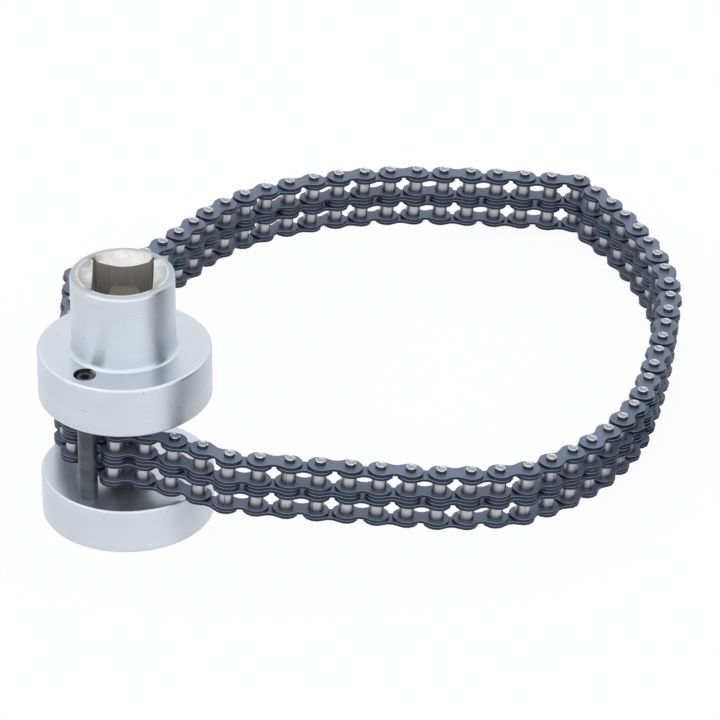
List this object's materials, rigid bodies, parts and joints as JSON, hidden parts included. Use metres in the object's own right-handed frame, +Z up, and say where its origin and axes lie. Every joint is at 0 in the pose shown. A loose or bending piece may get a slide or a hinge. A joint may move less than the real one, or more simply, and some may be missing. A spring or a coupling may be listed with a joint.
{
  "type": "chain oil filter wrench",
  "caption": "Turned steel spool with a square drive socket in its hub, and an endless two-strand bush chain that grips a canister filter.",
  "frame": {"origin": "centre of the spool's lower face, on its axis", "axes": "+Z up the spool's axis out of the drive socket; +X along the front run of the chain, away from the spool; +Y towards the loop's back"},
  "size_m": [0.1405, 0.1422, 0.0579],
  "materials": {
    "plated_steel": "satin zinc plating over turning marks",
    "chain_steel": "dark blued, bright rivet ends",
    "black_steel": "black oxide"
  },
  "bodies": {
    "spool": {"spool_body": "plated_steel", "guide_pin": "black_steel", "chain_in_throat": "chain_steel"},
    "outer_link_03": {"outer_link_03": "chain_steel"},
    "inner_link_04": {"inner_link_04": "chain_steel"},
    "outer_link_05": {"outer_link_05": "chain_steel"},
    "inner_link_06": {"inner_link_06": "chain_steel"},
    "outer_link_07": {"outer_link_07": "chain_steel"},
    "inner_link_08": {"inner_link_08": "chain_steel"},
    "outer_link_09": {"outer_link_09": "chain_steel"},
    "inner_link_10": {"inner_link_10": "chain_steel"},
    "outer_link_11": {"outer_link_11": "chain_steel"},
    "inner_link_12": {"inner_link_12": "chain_steel"},
    "outer_link_13": {"outer_link_13": "chain_steel"},
    "inner_link_14": {"inner_link_14": "chain_steel"},
    "outer_link_15": {"outer_link_15": "chain_steel"},
    "inner_link_16": {"inner_link_16": "chain_steel"},
    "outer_link_17": {"outer_link_17": "chain_steel"},
    "inner_link_18": {"inner_link_18": "chain_steel"},
    "outer_link_19": {"outer_link_19": "chain_steel"},
    "inner_link_20": {"inner_link_20": "chain_steel"},
    "outer_link_21": {"outer_link_21": "chain_steel"},
    "inner_link_22": {"inner_link_22": "chain_steel"},
    "outer_link_23": {"outer_link_23": "chain_steel"},
    "inner_link_24": {"inner_link_24": "chain_steel"},
    "outer_link_25": {"outer_link_25": "chain_steel"},
    "inner_link_26": {"inner_link_26": "chain_steel"},
    "outer_link_27": {"outer_link_27": "chain_steel"},
    "inner_link_28": {"inner_link_28": "chain_steel"},
    "outer_link_29": {"outer_link_29": "chain_steel"},
    "inner_link_30": {"inner_link_30": "chain_steel"},
    "outer_link_31": {"outer_link_31": "chain_steel"},
    "inner_link_32": {"inner_link_32": "chain_steel"},
    "outer_link_33": {"outer_link_33": "chain_steel"},
    "inner_link_34": {"inner_link_34": "chain_steel"},
    "outer_link_35": {"outer_link_35": "chain_steel"},
    "inner_link_36": {"inner_link_36": "chain_steel"},
    "outer_link_37": {"outer_link_37": "chain_steel"},
    "inner_link_38": {"inner_link_38": "chain_steel"},
    "outer_link_39": {"outer_link_39": "chain_steel"},
    "inner_link_40": {"inner_link_40": "chain_steel"},
    "outer_link_41": {"outer_link_41": "chain_steel"},
    "inner_link_42": {"inner_link_42": "chain_steel"},
    "outer_link_43": {"outer_link_43": "chain_steel"},
    "inner_link_44": {"inner_link_44": "chain_steel"},
    "outer_link_45": {"outer_link_45": "chain_steel"},
    "inner_link_46": {"inner_link_46": "chain_steel"},
    "outer_link_47": {"outer_link_47": "chain_steel"},
    "inner_link_48": {"inner_link_48": "chain_steel"},
    "outer_link_49": {"outer_link_49": "chain_steel"},
    "inner_link_50": {"inner_link_50": "chain_steel"},
    "outer_link_51": {"outer_link_51": "chain_steel"},
    "inner_link_52": {"inner_link_52": "chain_steel"},
    "outer_link_53": {"outer_link_53": "chain_steel"},
    "inner_link_54": {"inner_link_54": "chain_steel"},
    "outer_link_55": {"outer_link_55": "chain_steel"},
    "chain_run_56_57": {"chain_run_56_57": "chain_steel"},
    "chain_run_58_61": {"chain_run_58_61": "chain_steel"},
    "chain_run_62_65": {"chain_run_62_65": "chain_steel"},
    "chain_run_66_69": {"chain_run_66_69": "chain_steel"}
  },
  "joints": [
    {"name": "hinge_03", "type": "hinge", "parent": "spool", "child": "outer_link_03", "pos_m": [0.00418, -0.01151, 0.01953], "axis": [0.0899, 0.0224, 0.9957], "range_deg": [-2.75, 2.75]},
    {"name": "hinge_04", "type": "hinge", "parent": "outer_link_03", "child": "inner_link_04", "pos_m": [0.01019, -0.01347, 0.01903], "axis": [0.0899, 0.0224, 0.9957], "range_deg": [-1.38, 1.38]},
    {"name": "hinge_05", "type": "hinge", "parent": "inner_link_04", "child": "outer_link_05", "pos_m": [0.01606, -0.01585, 0.01856], "axis": [0.0899, 0.0224, 0.9957], "range_deg": [-0.6, 0.6]},
    {"name": "hinge_06", "type": "hinge", "parent": "outer_link_05", "child": "inner_link_06", "pos_m": [0.02175, -0.01863, 0.0181], "axis": [0.0899, 0.0224, 0.9957], "range_deg": [-1.37, 1.37]},
    {"name": "hinge_07", "type": "hinge", "parent": "inner_link_06", "child": "outer_link_07", "pos_m": [0.02808, -0.01874, 0.01754], "axis": [0.0899, 0.0224, 0.9957], "range_deg": [-1.14, 1.14]},
    {"name": "hinge_08", "type": "hinge", "parent": "outer_link_07", "child": "inner_link_08", "pos_m": [0.0344, -0.01881, 0.01697], "axis": [0.0899, 0.0224, 0.9957], "range_deg": [-0.94, 0.94]},
    {"name": "hinge_09", "type": "hinge", "parent": "inner_link_08", "child": "outer_link_09", "pos_m": [0.04072, -0.01885, 0.0164], "axis": [0.0899, 0.0224, 0.9957], "range_deg": [-0.83, 0.83]},
    {"name": "hinge_10", "type": "hinge", "parent": "outer_link_09", "child": "inner_link_10", "pos_m": [0.04705, -0.01885, 0.01583], "axis": [0.0899, 0.0224, 0.9957], "range_deg": [-0.78, 0.78]},
    {"name": "hinge_11", "type": "hinge", "parent": "inner_link_10", "child": "outer_link_11", "pos_m": [0.05337, -0.01881, 0.01525], "axis": [0.0899, 0.0224, 0.9957], "range_deg": [-0.74, 0.74]},
    {"name": "hinge_12", "type": "hinge", "parent": "outer_link_11", "child": "inner_link_12", "pos_m": [0.0597, -0.01874, 0.01468], "axis": [0.0899, 0.0224, 0.9957], "range_deg": [-0.72, 0.72]},
    {"name": "hinge_13", "type": "hinge", "parent": "inner_link_12", "child": "outer_link_13", "pos_m": [0.06602, -0.01863, 0.01411], "axis": [0.0899, 0.0224, 0.9957], "range_deg": [-0.71, 0.71]},
    {"name": "hinge_14", "type": "hinge", "parent": "outer_link_13", "child": "inner_link_14", "pos_m": [0.07229, -0.01782, 0.01352], "axis": [0.0899, 0.0224, 0.9957], "range_deg": [-0.68, 0.68]},
    {"name": "hinge_15", "type": "hinge", "parent": "inner_link_14", "child": "outer_link_15", "pos_m": [0.07843, -0.01632, 0.01293], "axis": [0.0899, 0.0224, 0.9957], "range_deg": [-0.65, 0.65]},
    {"name": "hinge_16", "type": "hinge", "parent": "outer_link_15", "child": "inner_link_16", "pos_m": [0.08437, -0.01415, 0.01235], "axis": [0.0899, 0.0224, 0.9957], "range_deg": [-0.65, 0.65]},
    {"name": "hinge_17", "type": "hinge", "parent": "inner_link_16", "child": "outer_link_17", "pos_m": [0.08941, -0.01033, 0.01181], "axis": [0.0899, 0.0224, 0.9957], "range_deg": [-0.69, 0.69]},
    {"name": "hinge_18", "type": "hinge", "parent": "outer_link_17", "child": "inner_link_18", "pos_m": [0.09407, -0.00604, 0.01129], "axis": [0.0899, 0.0224, 0.9957], "range_deg": [-0.6, 0.6]},
    {"name": "hinge_19", "type": "hinge", "parent": "inner_link_18", "child": "outer_link_19", "pos_m": [0.09831, -0.00134, 0.0108], "axis": [0.0899, 0.0224, 0.9957], "range_deg": [-0.6, 0.6]},
    {"name": "hinge_20", "type": "hinge", "parent": "outer_link_19", "child": "inner_link_20", "pos_m": [0.10208, 0.00375, 0.01035], "axis": [0.0899, 0.0224, 0.9957], "range_deg": [-0.6, 0.6]},
    {"name": "hinge_21", "type": "hinge", "parent": "inner_link_20", "child": "outer_link_21", "pos_m": [0.10535, 0.00918, 0.00993], "axis": [0.0899, 0.0224, 0.9957], "range_deg": [-0.6, 0.6]},
    {"name": "hinge_22", "type": "hinge", "parent": "outer_link_21", "child": "inner_link_22", "pos_m": [0.1081, 0.01489, 0.00955], "axis": [0.0899, 0.0224, 0.9957], "range_deg": [-0.6, 0.6]},
    {"name": "hinge_23", "type": "hinge", "parent": "inner_link_22", "child": "outer_link_23", "pos_m": [0.11029, 0.02084, 0.00922], "axis": [0.0899, 0.0224, 0.9957], "range_deg": [-0.6, 0.6]},
    {"name": "hinge_24", "type": "hinge", "parent": "outer_link_23", "child": "inner_link_24", "pos_m": [0.11192, 0.02697, 0.00894], "axis": [0.0899, 0.0224, 0.9957], "range_deg": [-1.05, 1.05]},
    {"name": "hinge_25", "type": "hinge", "parent": "inner_link_24", "child": "outer_link_25", "pos_m": [0.1134, 0.03314, 0.00866], "axis": [0.0899, 0.0224, 0.9957], "range_deg": [-1.47, 1.47]},
    {"name": "hinge_26", "type": "hinge", "parent": "outer_link_25", "child": "inner_link_26", "pos_m": [0.11474, 0.03934, 0.0084], "axis": [0.0899, 0.0224, 0.9957], "range_deg": [-1.75, 1.75]},
    {"name": "hinge_27", "type": "hinge", "parent": "inner_link_26", "child": "outer_link_27", "pos_m": [0.11593, 0.04557, 0.00815], "axis": [0.0899, 0.0224, 0.9957], "range_deg": [-1.79, 1.79]},
    {"name": "hinge_28", "type": "hinge", "parent": "outer_link_27", "child": "inner_link_28", "pos_m": [0.11698, 0.05183, 0.00792], "axis": [0.0899, 0.0224, 0.9957], "range_deg": [-1.51, 1.51]},
    {"name": "hinge_29", "type": "hinge", "parent": "inner_link_28", "child": "outer_link_29", "pos_m": [0.11789, 0.05811, 0.00769], "axis": [0.0899, 0.0224, 0.9957], "range_deg": [-0.9, 0.9]},
    {"name": "hinge_30", "type": "hinge", "parent": "outer_link_29", "child": "inner_link_30", "pos_m": [0.11864, 0.06441, 0.00748], "axis": [0.0899, 0.0224, 0.9957], "range_deg": [-0.6, 0.6]},
    {"name": "hinge_31", "type": "hinge", "parent": "inner_link_30", "child": "outer_link_31", "pos_m": [0.1187, 0.07076, 0.00734], "axis": [0.0899, 0.0224, 0.9957], "range_deg": [-0.77, 0.77]},
    {"name": "hinge_32", "type": "hinge", "parent": "outer_link_31", "child": "inner_link_32", "pos_m": [0.11807, 0.07708, 0.00725], "axis": [0.0899, 0.0224, 0.9957], "range_deg": [-1.37, 1.37]},
    {"name": "hinge_33", "type": "hinge", "parent": "inner_link_32", "child": "outer_link_33", "pos_m": [0.11674, 0.08329, 0.00723], "axis": [0.0899, 0.0224, 0.9957], "range_deg": [-0.6, 0.6]},
    {"name": "hinge_34", "type": "hinge", "parent": "outer_link_33", "child": "inner_link_34", "pos_m": [0.11498, 0.08939, 0.00725], "axis": [0.0899, 0.0224, 0.9957], "range_deg": [-0.6, 0.6]},
    {"name": "hinge_35", "type": "hinge", "parent": "inner_link_34", "child": "outer_link_35", "pos_m": [0.11281, 0.09536, 0.00731], "axis": [0.0899, 0.0224, 0.9957], "range_deg": [-0.6, 0.6]},
    {"name": "hinge_36", "type": "hinge", "parent": "outer_link_35", "child": "inner_link_36", "pos_m": [0.11023, 0.10116, 0.00742], "axis": [0.0899, 0.0224, 0.9957], "range_deg": [-0.6, 0.6]},
    {"name": "hinge_37", "type": "hinge", "parent": "inner_link_36", "child": "outer_link_37", "pos_m": [0.10725, 0.10676, 0.00756], "axis": [0.0899, 0.0224, 0.9957], "range_deg": [-0.6, 0.6]},
    {"name": "hinge_38", "type": "hinge", "parent": "outer_link_37", "child": "inner_link_38", "pos_m": [0.10388, 0.11215, 0.00774], "axis": [0.0899, 0.0224, 0.9957], "range_deg": [-0.6, 0.6]},
    {"name": "hinge_39", "type": "hinge", "parent": "inner_link_38", "child": "outer_link_39", "pos_m": [0.10016, 0.11728, 0.00796], "axis": [0.0899, 0.0224, 0.9957], "range_deg": [-0.6, 0.6]},
    {"name": "hinge_40", "type": "hinge", "parent": "outer_link_39", "child": "inner_link_40", "pos_m": [0.09383, 0.11728, 0.00853], "axis": [0.0899, 0.0224, 0.9957], "range_deg": [-0.6, 0.6]},
    {"name": "hinge_41", "type": "hinge", "parent": "inner_link_40", "child": "outer_link_41", "pos_m": [0.08751, 0.11713, 0.00911], "axis": [0.0899, 0.0224, 0.9957], "range_deg": [-0.6, 0.6]},
    {"name": "hinge_42", "type": "hinge", "parent": "outer_link_41", "child": "inner_link_42", "pos_m": [0.08119, 0.11682, 0.00969], "axis": [0.0899, 0.0224, 0.9957], "range_deg": [-0.6, 0.6]},
    {"name": "hinge_43", "type": "hinge", "parent": "inner_link_42", "child": "outer_link_43", "pos_m": [0.07489, 0.11635, 0.01027], "axis": [0.0899, 0.0224, 0.9957], "range_deg": [-0.6, 0.6]},
    {"name": "hinge_44", "type": "hinge", "parent": "outer_link_43", "child": "inner_link_44", "pos_m": [0.06859, 0.11573, 0.01085], "axis": [0.0899, 0.0224, 0.9957], "range_deg": [-0.6, 0.6]},
    {"name": "hinge_45", "type": "hinge", "parent": "inner_link_44", "child": "outer_link_45", "pos_m": [0.06232, 0.11496, 0.01143], "axis": [0.0899, 0.0224, 0.9957], "range_deg": [-0.6, 0.6]},
    {"name": "hinge_46", "type": "hinge", "parent": "outer_link_45", "child": "inner_link_46", "pos_m": [0.05612, 0.11371, 0.01202], "axis": [0.0899, 0.0224, 0.9957], "range_deg": [-0.6, 0.6]},
    {"name": "hinge_47", "type": "hinge", "parent": "inner_link_46", "child": "outer_link_47", "pos_m": [0.05003, 0.112, 0.01261], "axis": [0.0899, 0.0224, 0.9957], "range_deg": [-0.6, 0.6]},
    {"name": "hinge_48", "type": "hinge", "parent": "outer_link_47", "child": "inner_link_48", "pos_m": [0.0441, 0.10983, 0.01319], "axis": [0.0899, 0.0224, 0.9957], "range_deg": [-0.6, 0.6]},
    {"name": "hinge_49", "type": "hinge", "parent": "inner_link_48", "child": "outer_link_49", "pos_m": [0.03834, 0.10721, 0.01377], "axis": [0.0899, 0.0224, 0.9957], "range_deg": [-0.6, 0.6]},
    {"name": "hinge_50", "type": "hinge", "parent": "outer_link_49", "child": "inner_link_50", "pos_m": [0.0328, 0.10416, 0.01434], "axis": [0.0899, 0.0224, 0.9957], "range_deg": [-0.6, 0.6]},
    {"name": "hinge_51", "type": "hinge", "parent": "inner_link_50", "child": "outer_link_51", "pos_m": [0.0275, 0.10071, 0.0149], "axis": [0.0899, 0.0224, 0.9957], "range_deg": [-2.71, 2.71]},
    {"name": "hinge_52", "type": "hinge", "parent": "outer_link_51", "child": "inner_link_52", "pos_m": [0.02264, 0.09665, 0.01543], "axis": [0.0899, 0.0224, 0.9957], "range_deg": [-1.27, 1.27]},
    {"name": "hinge_53", "type": "hinge", "parent": "inner_link_52", "child": "outer_link_53", "pos_m": [0.0183, 0.09204, 0.01592], "axis": [0.0899, 0.0224, 0.9957], "range_deg": [-0.6, 0.6]},
    {"name": "hinge_54", "type": "hinge", "parent": "outer_link_53", "child": "inner_link_54", "pos_m": [0.01453, 0.08696, 0.01638], "axis": [0.0899, 0.0224, 0.9957], "range_deg": [-0.6, 0.6]},
    {"name": "hinge_55", "type": "hinge", "parent": "inner_link_54", "child": "outer_link_55", "pos_m": [0.01138, 0.08146, 0.01679], "axis": [0.0899, 0.0224, 0.9957], "range_deg": [-0.6, 0.6]},
    {"name": "hinge_56", "type": "hinge", "parent": "outer_link_55", "child": "chain_run_56_57", "pos_m": [0.0081, 0.07603, 0.01721], "axis": [0.0899, 0.0224, 0.9957], "range_deg": [-1.23, 1.23]},
    {"name": "hinge_58", "type": "hinge", "parent": "chain_run_56_57", "child": "chain_run_58_61", "pos_m": [0.00117, 0.06543, 0.01807], "axis": [0.0899, 0.0224, 0.9957], "range_deg": [-3.67, 3.67]},
    {"name": "hinge_62", "type": "hinge", "parent": "chain_run_58_61", "child": "chain_run_62_65", "pos_m": [-0.01381, 0.04771, 0.01982], "axis": [0.0899, 0.0224, 0.9957], "range_deg": [-2.28, 2.28]},
    {"name": "hinge_66", "type": "hinge", "parent": "chain_run_62_65", "child": "chain_run_66_69", "pos_m": [-0.01332, 0.02232, 0.02035], "axis": [0.0899, 0.0224, 0.9957], "range_deg": [-9.26, 9.26]}
  ],
  "couplings": [
    {"joint": "hinge_04", "follows": "hinge_03", "ratio": 0.49825},
    {"joint": "hinge_05", "follows": "hinge_03", "ratio": -0.21844},
    {"joint": "hinge_06", "follows": "hinge_03", "ratio": -0.49511},
    {"joint": "hinge_07", "follows": "hinge_03", "ratio": -0.41117},
    {"joint": "hinge_08", "follows": "hinge_03", "ratio": -0.33963},
    {"joint": "hinge_09", "follows": "hinge_03", "ratio": -0.30146},
    {"joint": "hinge_10", "follows": "hinge_03", "ratio": -0.28129},
    {"joint": "hinge_11", "follows": "hinge_03", "ratio": -0.26798},
    {"joint": "hinge_12", "follows": "hinge_03", "ratio": -0.2593},
    {"joint": "hinge_13", "follows": "hinge_03", "ratio": -0.25825},
    {"joint": "hinge_14", "follows": "hinge_03", "ratio": -0.24407},
    {"joint": "hinge_15", "follows": "hinge_03", "ratio": -0.23318},
    {"joint": "hinge_16", "follows": "hinge_03", "ratio": -0.23596},
    {"joint": "hinge_17", "follows": "hinge_03", "ratio": -0.251},
    {"joint": "hinge_18", "follows": "hinge_03", "ratio": 0.21842},
    {"joint": "hinge_19", "follows": "hinge_03", "ratio": 0.21842},
    {"joint": "hinge_20", "follows": "hinge_03", "ratio": 0.21842},
    {"joint": "hinge_21", "follows": "hinge_03", "ratio": 0.21843},
    {"joint": "hinge_22", "follows": "hinge_03", "ratio": 0.21844},
    {"joint": "hinge_23", "follows": "hinge_03", "ratio": 0.21845},
    {"joint": "hinge_24", "follows": "hinge_03", "ratio": 0.38203},
    {"joint": "hinge_25", "follows": "hinge_03", "ratio": 0.53253},
    {"joint": "hinge_26", "follows": "hinge_03", "ratio": 0.63408},
    {"joint": "hinge_27", "follows": "hinge_03", "ratio": 0.64921},
    {"joint": "hinge_28", "follows": "hinge_03", "ratio": 0.54672},
    {"joint": "hinge_29", "follows": "hinge_03", "ratio": 0.32428},
    {"joint": "hinge_30", "follows": "hinge_03", "ratio": 0.21844},
    {"joint": "hinge_31", "follows": "hinge_03", "ratio": -0.28012},
    {"joint": "hinge_32", "follows": "hinge_03", "ratio": -0.49688},
    {"joint": "hinge_33", "follows": "hinge_03", "ratio": -0.2184},
    {"joint": "hinge_34", "follows": "hinge_03", "ratio": -0.21831},
    {"joint": "hinge_35", "follows": "hinge_03", "ratio": -0.21825},
    {"joint": "hinge_36", "follows": "hinge_03", "ratio": -0.2182},
    {"joint": "hinge_37", "follows": "hinge_03", "ratio": -0.21814},
    {"joint": "hinge_38", "follows": "hinge_03", "ratio": -0.21809},
    {"joint": "hinge_39", "follows": "hinge_03", "ratio": -0.21804},
    {"joint": "hinge_40", "follows": "hinge_03", "ratio": -0.21805},
    {"joint": "hinge_41", "follows": "hinge_03", "ratio": -0.21806},
    {"joint": "hinge_42", "follows": "hinge_03", "ratio": -0.21807},
    {"joint": "hinge_43", "follows": "hinge_03", "ratio": -0.21809},
    {"joint": "hinge_44", "follows": "hinge_03", "ratio": -0.21811},
    {"joint": "hinge_45", "follows": "hinge_03", "ratio": -0.21813},
    {"joint": "hinge_46", "follows": "hinge_03", "ratio": -0.21816},
    {"joint": "hinge_47", "follows": "hinge_03", "ratio": -0.21819},
    {"joint": "hinge_48", "follows": "hinge_03", "ratio": -0.21823},
    {"joint": "hinge_49", "follows": "hinge_03", "ratio": -0.21827},
    {"joint": "hinge_50", "follows": "hinge_03", "ratio": -0.21832},
    {"joint": "hinge_51", "follows": "hinge_03", "ratio": 0.98379},
    {"joint": "hinge_52", "follows": "hinge_03", "ratio": 0.4592},
    {"joint": "hinge_53", "follows": "hinge_03", "ratio": 0.21844},
    {"joint": "hinge_54", "follows": "hinge_03", "ratio": 0.21841},
    {"joint": "hinge_55", "follows": "hinge_03", "ratio": 0.21839},
    {"joint": "hinge_56", "follows": "hinge_03", "ratio": 0.44413},
    {"joint": "hinge_58", "follows": "hinge_03", "ratio": 1.3318},
    {"joint": "hinge_62", "follows": "hinge_03", "ratio": 0.82609},
    {"joint": "hinge_66", "follows": "hinge_03", "ratio": -3.3614}
  ]
}
